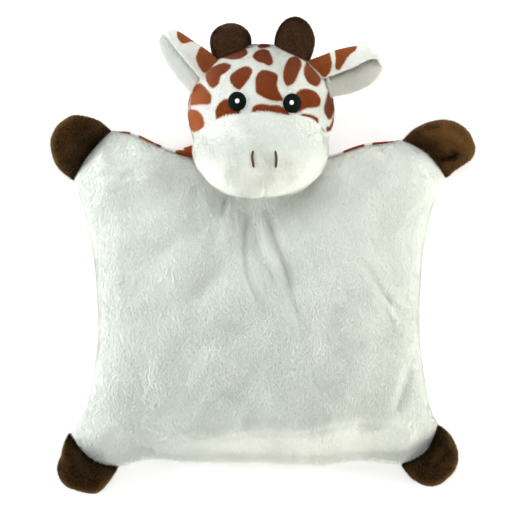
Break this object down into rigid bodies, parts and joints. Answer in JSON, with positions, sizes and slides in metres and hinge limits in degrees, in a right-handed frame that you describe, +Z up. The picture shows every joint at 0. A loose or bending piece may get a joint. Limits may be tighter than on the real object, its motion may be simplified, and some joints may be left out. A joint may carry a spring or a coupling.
{
  "type": "giraffe comfort cushion",
  "caption": "Flat stuffed comfort cushion with a giraffe head at its top edge and a small paw at each corner; head, ears and paws fold on their seams.",
  "frame": {"origin": "on the table, under the middle of the cushion, which lies on its back with the face up", "axes": "+Z up from the table, +Y along the cushion towards the head, +X to the right of someone who looks down on the face"},
  "size_m": [0.3171, 0.3576, 0.0956],
  "materials": {
    "white_plush": "short soft plush, off-white",
    "spotted_plush": "short plush, rust brown spots on cream",
    "brown_plush": "short brown plush",
    "dark_brown_plush": "short very dark brown plush",
    "filling": "loose white polyester fibre",
    "black_thread": "black satin stitch",
    "white_thread": "white thread",
    "brown_thread": "dark brown thread"
  },
  "bodies": {
    "cushion": {"body_front_panel": "white_plush", "body_back_panel": "spotted_plush", "body_filling": "filling", "neck_seam": "white_thread", "upper_left_paw_seam": "brown_thread", "upper_right_paw_seam": "brown_thread", "lower_right_paw_seam": "brown_thread", "lower_left_paw_seam": "brown_thread"},
    "head": {"head_crown_panel": "spotted_plush", "head_back_panel": "spotted_plush", "head_muzzle_panel": "white_plush", "head_filling": "filling", "left_horn_cover": "dark_brown_plush", "left_horn_filling": "filling", "left_ear_seam": "white_thread", "left_eye": "black_thread", "left_eye_highlight": "white_thread", "left_nostril": "brown_thread", "right_horn_cover": "dark_brown_plush", "right_horn_filling": "filling", "right_ear_seam": "white_thread", "right_eye": "black_thread", "right_eye_highlight": "white_thread", "right_nostril": "brown_thread"},
    "left_ear": {"left_ear_inner_panel": "white_plush", "left_ear_outer_panel": "spotted_plush"},
    "right_ear": {"right_ear_inner_panel": "white_plush", "right_ear_outer_panel": "spotted_plush"},
    "upper_left_paw": {"upper_left_paw_front_panel": "brown_plush", "upper_left_paw_back_panel": "brown_plush", "upper_left_paw_filling": "filling"},
    "upper_right_paw": {"upper_right_paw_front_panel": "brown_plush", "upper_right_paw_back_panel": "brown_plush", "upper_right_paw_filling": "filling"},
    "lower_right_paw": {"lower_right_paw_front_panel": "brown_plush", "lower_right_paw_back_panel": "brown_plush", "lower_right_paw_filling": "filling"},
    "lower_left_paw": {"lower_left_paw_front_panel": "brown_plush", "lower_left_paw_back_panel": "brown_plush", "lower_left_paw_filling": "filling"}
  },
  "joints": [
    {"name": "head_nod", "type": "hinge", "parent": "cushion", "child": "head", "pos_m": [0, 0.11234, 0.018], "axis": [1, 0, 0], "range_deg": [-60, 15]},
    {"name": "left_ear_fold", "type": "hinge", "parent": "head", "child": "left_ear", "pos_m": [-0.04583, 0.17386, 0.04753], "axis": [0.5895, 0.8078, 0], "range_deg": [-50, 50], "stiffness_Nm_per_rad": 0.006},
    {"name": "right_ear_fold", "type": "hinge", "parent": "head", "child": "right_ear", "pos_m": [0.04901, 0.17158, 0.04752], "axis": [0.5465, -0.8375, 0], "range_deg": [-50, 50], "stiffness_Nm_per_rad": 0.006},
    {"name": "upper_left_paw_fold", "type": "hinge", "parent": "cushion", "child": "upper_left_paw", "pos_m": [-0.12642, 0.1123, 0.0095], "axis": [0.605, 0.7963, 0], "range_deg": [-55, 55], "stiffness_Nm_per_rad": 0.02},
    {"name": "upper_right_paw_fold", "type": "hinge", "parent": "cushion", "child": "upper_right_paw", "pos_m": [0.12332, 0.11029, 0.0095], "axis": [0.7612, -0.6485, 0], "range_deg": [-55, 55], "stiffness_Nm_per_rad": 0.02},
    {"name": "lower_right_paw_fold", "type": "hinge", "parent": "cushion", "child": "lower_right_paw", "pos_m": [0.12047, -0.10492, 0.0095], "axis": [-0.6646, -0.7472, 0], "range_deg": [-55, 55], "stiffness_Nm_per_rad": 0.02},
    {"name": "lower_left_paw_fold", "type": "hinge", "parent": "cushion", "child": "lower_left_paw", "pos_m": [-0.12412, -0.10956, 0.0095], "axis": [-0.8275, 0.5615, 0], "range_deg": [-55, 55], "stiffness_Nm_per_rad": 0.02}
  ]
}
